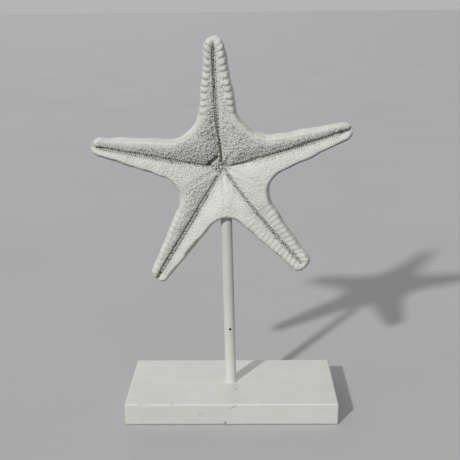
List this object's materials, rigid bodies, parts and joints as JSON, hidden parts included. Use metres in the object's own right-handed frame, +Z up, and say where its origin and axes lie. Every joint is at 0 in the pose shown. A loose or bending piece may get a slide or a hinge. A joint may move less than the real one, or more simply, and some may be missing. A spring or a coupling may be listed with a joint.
{
  "type": "starfish on stand",
  "caption": "White-painted dried starfish held upright on a slim round rod in a rectangular wooden base, for display on a shelf or table.",
  "frame": {"origin": "middle of the base's underside", "axes": "+Z up, X to the right and Y away from someone who faces the star's underside"},
  "size_m": [0.2109, 0.089, 0.3141],
  "materials": {
    "base_paint": "satin white paint on planed wood",
    "rod_paint": "satin white paint on a turned dowel",
    "star_paint": "chalky matte white paint on a dried, granular star"
  },
  "bodies": {
    "root": {"base": "base_paint", "rod": "rod_paint", "starfish": "star_paint"}
  },
  "joints": []
}
